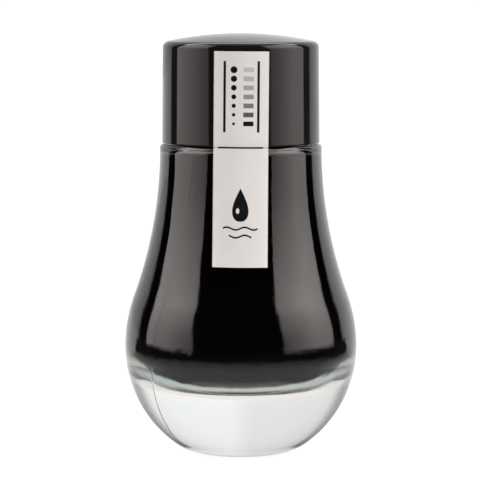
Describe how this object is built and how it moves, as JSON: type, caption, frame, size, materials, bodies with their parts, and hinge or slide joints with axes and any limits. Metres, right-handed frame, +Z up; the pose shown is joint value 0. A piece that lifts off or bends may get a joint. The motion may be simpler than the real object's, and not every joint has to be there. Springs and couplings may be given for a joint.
{
  "type": "ink bottle",
  "caption": "Bulb-shaped clear glass ink bottle with a thick clear foot, black ink, a domed gloss black two-part screw cap and a paper seal strip.",
  "frame": {"origin": "centre of the foot ring, on the surface the bottle stands on", "axes": "+Z up along the bottle's axis; the label strip faces -Y"},
  "size_m": [0.0402, 0.0402, 0.072],
  "materials": {
    "glass": "clear moulded flint glass, polished, with a faint mould seam",
    "ink": "opaque blue-black liquid",
    "cap_gloss": "high gloss black moulded plastic",
    "cap_sleeve": "satin black moulded polypropylene",
    "liner_foam": "white expanded polyethylene foam",
    "seal_paper": null
  },
  "bodies": {
    "bottle": {"glass_bottle": "glass", "ink_fill": "ink", "bottle_label": "seal_paper"},
    "liner": {"cap_liner": "liner_foam"},
    "cap": {"cap_shell": "cap_gloss", "cap_insert": "cap_sleeve", "cap_label": "seal_paper"}
  },
  "joints": [
    {"name": "cap_rise", "type": "slide", "parent": "bottle", "child": "liner", "axis": [0, 0, 1], "range_m": [0, 0.01588]},
    {"name": "cap_turn", "type": "hinge", "parent": "liner", "child": "cap", "pos_m": [0, 0, 0.0533], "axis": [0, 0, 1], "range_deg": [0, 1800]}
  ],
  "couplings": [
    {"joint": "cap_rise", "follows": "cap_turn", "m_per_rad": 0.00050532}
  ]
}
